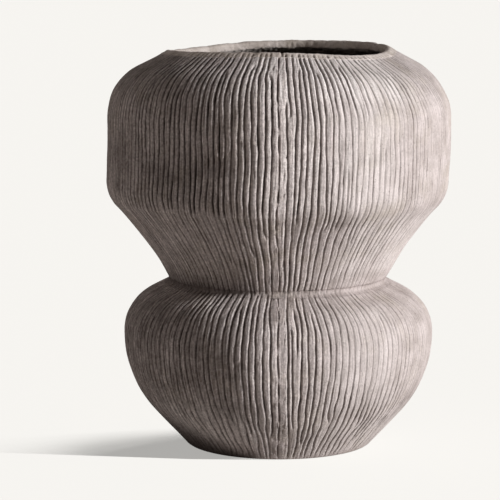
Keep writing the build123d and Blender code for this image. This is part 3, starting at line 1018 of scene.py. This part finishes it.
# %% Lining glaze
POOL, RIPPLE = 0.035, 0.0006
GLAZE_ROUGHNESS, GLAZE_IOR = 0.5, 1.52
lining_glaze = bpy.data.materials.new("satin_iron_glaze")
lining_glaze.use_nodes = True
glaze_tree = lining_glaze.node_tree
glaze_surface = glaze_tree.nodes["Principled BSDF"]
glaze_place = add_node(glaze_tree, "ShaderNodeTexCoord", {}).outputs["Object"]
pools = {"Vector": glaze_place, "Scale": 1 / POOL, "Detail": 4}
pooling = add_node(glaze_tree, "ShaderNodeTexNoise", pools)
glaze_colour = add_node(
    glaze_tree,
    "ShaderNodeMix",
    {MIX_FACTOR: pooling.outputs["Fac"], MIX_FIRST: linear("#2E2621"), MIX_SECOND: linear("#5A4D43")},
    data_type="RGBA",
)
ripples = add_node(
    glaze_tree, "ShaderNodeBump", {"Strength": 0.5, "Distance": RIPPLE, "Height": pooling.outputs["Fac"]}
)
glaze_tree.links.new(glaze_colour.outputs[MIX_COLOUR], glaze_surface.inputs["Base Color"])
glaze_tree.links.new(ripples.outputs["Normal"], glaze_surface.inputs["Normal"])
glaze_surface.inputs["Roughness"].default_value = GLAZE_ROUGHNESS
glaze_surface.inputs["IOR"].default_value = GLAZE_IOR
print("glaze:", lining_glaze.name)

# %% [markdown]
# ## Giving each piece its finish
# The floor slab needs no new mesh: its CAD shape is right, so it only takes the plain clay. The dressed
# pieces have one material each.

# %% Assign finishes
for piece in shells:
    piece.data.materials.append(combed_clay)
for piece in [*seams, coil]:
    piece.data.materials.append(slip_clay)
rim.data.materials.append(plain_clay)
lining.data.materials.append(lining_glaze)
floor_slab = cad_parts["floor_slab"]
floor_slab.data.materials.clear()
floor_slab.data.materials.append(plain_clay)
print("dressed pieces:", len(shells) + len(seams) + 3)

# %% [markdown]
# ## The studio
# The floor and the space behind are the same warm white, so the floor has no edge, and only a soft shadow to
# the left shows where it is. The lit side of the vase would leave a bright patch on the paper, so the paper
# is toned down and lit more strongly instead. What bounces off it is dimmed with the Light Path node, and so
# is the room, which gives only a weak warm fill.
#
# The paper is two sheets that meet along the front edge of the shadow, so each can have lights of its own.

# %% Floor and backdrop
BACKDROP = "#F6F4F0"
FLOOR_LIT, FLOOR_GLOW, FLOOR_TONE = 0.55, 0.45, 0.12
PAPER, PAPER_BOUNCE = linear(BACKDROP), (0.3, 0.27, 0.25, 1)
ROOM_COLOUR, ROOM_STRENGTH = (1, 0.87, 0.8, 1), 0.036
SHEET_REACH = 40
SHADOW_LINE = ((-SHEET_REACH, 5.4), (-0.0865, -0.0906), (0, -0.0935), (SHEET_REACH, -0.0935))


def paper_sheet(name, end):
    """A sheet of floor from the shadow's front line to its far end, in metres."""
    sheet_mesh = bpy.data.meshes.new(name)
    corners = (*SHADOW_LINE, (SHEET_REACH, end), (-SHEET_REACH, end))
    sheet_mesh.from_pydata([(x, y, 0) for x, y in corners], [], [range(len(corners))])
    sheet = bpy.data.objects.new(name, sheet_mesh)
    bpy.context.scene.collection.objects.link(sheet)
    return sheet


studio_floor = paper_sheet("studio_floor", SHEET_REACH)
front_floor = paper_sheet("front_floor", -SHEET_REACH)

paper = bpy.data.materials.new("white_paper_floor")
paper.use_nodes = True
paper_tree = paper.node_tree
paper_tree.nodes.clear()
seen = add_node(paper_tree, "ShaderNodeLightPath", {}).outputs["Is Camera Ray"]
paper_tone = add_node(
    paper_tree,
    "ShaderNodeMix",
    {MIX_FACTOR: seen, MIX_FIRST: PAPER_BOUNCE, MIX_SECOND: PAPER},
    data_type="RGBA",
).outputs[MIX_COLOUR]
toned_down = add_node(
    paper_tree, "ShaderNodeVectorMath", {0: paper_tone, "Scale": FLOOR_TONE}, operation="SCALE"
).outputs["Vector"]
matt = add_node(paper_tree, "ShaderNodeBsdfDiffuse", {"Color": toned_down})
glow = add_node(paper_tree, "ShaderNodeEmission", {"Color": paper_tone, "Strength": FLOOR_GLOW})
both = add_node(paper_tree, "ShaderNodeAddShader", {0: matt.outputs["BSDF"], 1: glow.outputs["Emission"]})
add_node(paper_tree, "ShaderNodeOutputMaterial", {"Surface": both.outputs["Shader"]})
for sheet in (studio_floor, front_floor):
    sheet.data.materials.append(paper)

world = bpy.data.worlds.new("studio")
world.use_nodes = True
bpy.context.scene.world = world
world.node_tree.nodes.clear()
camera_ray = add_node(world.node_tree, "ShaderNodeLightPath", {}).outputs["Is Camera Ray"]
fill = add_node(world.node_tree, "ShaderNodeBackground", {"Color": ROOM_COLOUR, "Strength": ROOM_STRENGTH})
behind = add_node(world.node_tree, "ShaderNodeBackground", {"Color": PAPER, "Strength": 1})
sky = add_node(
    world.node_tree,
    "ShaderNodeMixShader",
    {0: camera_ray, 1: fill.outputs["Background"], 2: behind.outputs["Background"]},
)
add_node(world.node_tree, "ShaderNodeOutputWorld", {"Surface": sky.outputs["Shader"]})
bpy.context.scene.view_settings.view_transform = "Standard"
print("floor and backdrop:", BACKDROP)

# %% [markdown]
# ## The lights
# One tall, narrow softbox stands far off on the right and rakes across the grooves. Three weak cards lift the
# shade: at the front left, at the back, and one for the rim alone. Light linking keeps all four off the
# floor, so that the paper is evenly white while the vase keeps its deep shade on the left.

# %% Softbox and cards
AIM_HEIGHT = 0.22
SOFTBOX_WIDTH, SOFTBOX_HEIGHT, SOFTBOX_POWER = 0.45, 1.9, 308
CARD_COLOUR, RIM_CARD_COLOUR = (1, 0.9, 0.84), (1, 0.93, 0.88)


def aim(light, side, rise, distance):
    """Stands a light so many degrees to the right of the camera and above the floor, facing the vase."""
    side, rise = math.radians(side), math.radians(rise)
    towards = Vector((math.sin(side) * math.cos(rise), -math.cos(side) * math.cos(rise), math.sin(rise)))
    light.location = Vector((0, 0, AIM_HEIGHT)) + towards * distance
    light.rotation_euler = towards.to_track_quat("Z", "Y").to_euler()
    bpy.context.scene.collection.objects.link(light)


def listed(name, *objects):
    """A collection outside the scene that names what a light falls on or is stopped by."""
    group = bpy.data.collections.new(name)
    for item in objects:
        group.objects.link(item)
    return group


softbox = bpy.data.objects.new("softbox", bpy.data.lights.new("softbox", "AREA"))
softbox.data.shape = "RECTANGLE"
softbox.data.size, softbox.data.size_y = SOFTBOX_WIDTH, SOFTBOX_HEIGHT
softbox.data.energy = SOFTBOX_POWER
aim(softbox, 68.5, 10.8, 4.4)
on_vase = listed("the_vase", *shells, *seams, coil, rim, lining, floor_slab)
softbox.light_linking.receiver_collection = on_vase

# Weak cards: width in metres, power in watts, colour, where they stand, and what they light
for name, size, power, colour, stand, lit in (
    ("fill_card", 0.6, 3.7, CARD_COLOUR, (-48, 34, 2.6), on_vase),
    ("back_card", 1.6, 12, CARD_COLOUR, (-166, 24, 3), on_vase),
    ("mouth_card", 0.6, 7, RIM_CARD_COLOUR, (-24, 36, 2.6), listed("the_rim", rim)),
):
    card = bpy.data.objects.new(name, bpy.data.lights.new(name, "AREA"))
    card.data.size = size
    card.data.energy = power
    card.data.color = colour
    aim(card, *stand)
    card.light_linking.receiver_collection = lit
print("softbox", softbox.data.energy, "W")

# %% [markdown]
# ## Light for the floor
# The floor's own lights are suns, because a sun is equally strong everywhere. They stand so low that the
# whole vase would throw a shadow metres long, so only the floor slab stops them, and the shadow stays short.
# A fan of them makes it fade towards the back. Its front edge has to stay crisp, so it ends where the front
# sheet begins, which has one sun that nothing stops.

# %% Floor wash
FLOOR_RISE, FLOOR_SIDES = 2.9, (106, 112, 117, 121, 126, 134)
SUN_STRENGTH = FLOOR_LIT / FLOOR_TONE * math.pi / math.sin(math.radians(FLOOR_RISE))
SUN_WIDTH, SUN_DISTANCE = math.radians(3.6), 2


def low_sun(name, side, share, lit, stopping):
    """A low sun that falls on one sheet of floor and is stopped by one thing."""
    sun = bpy.data.objects.new(name, bpy.data.lights.new(name, "SUN"))
    sun.data.energy = SUN_STRENGTH * share
    sun.data.angle = SUN_WIDTH
    aim(sun, side, FLOOR_RISE, SUN_DISTANCE)
    sun.light_linking.receiver_collection = listed(f"{name}_falls_on", lit)
    sun.light_linking.blocker_collection = listed(f"{name}_stopped_by", stopping)


for side in FLOOR_SIDES:
    low_sun("floor_wash", side, 1 / len(FLOOR_SIDES), studio_floor, floor_slab)
low_sun("front_wash", FLOOR_SIDES[0], 1, front_floor, front_floor)
print("floor wash", round(SUN_STRENGTH, 2))
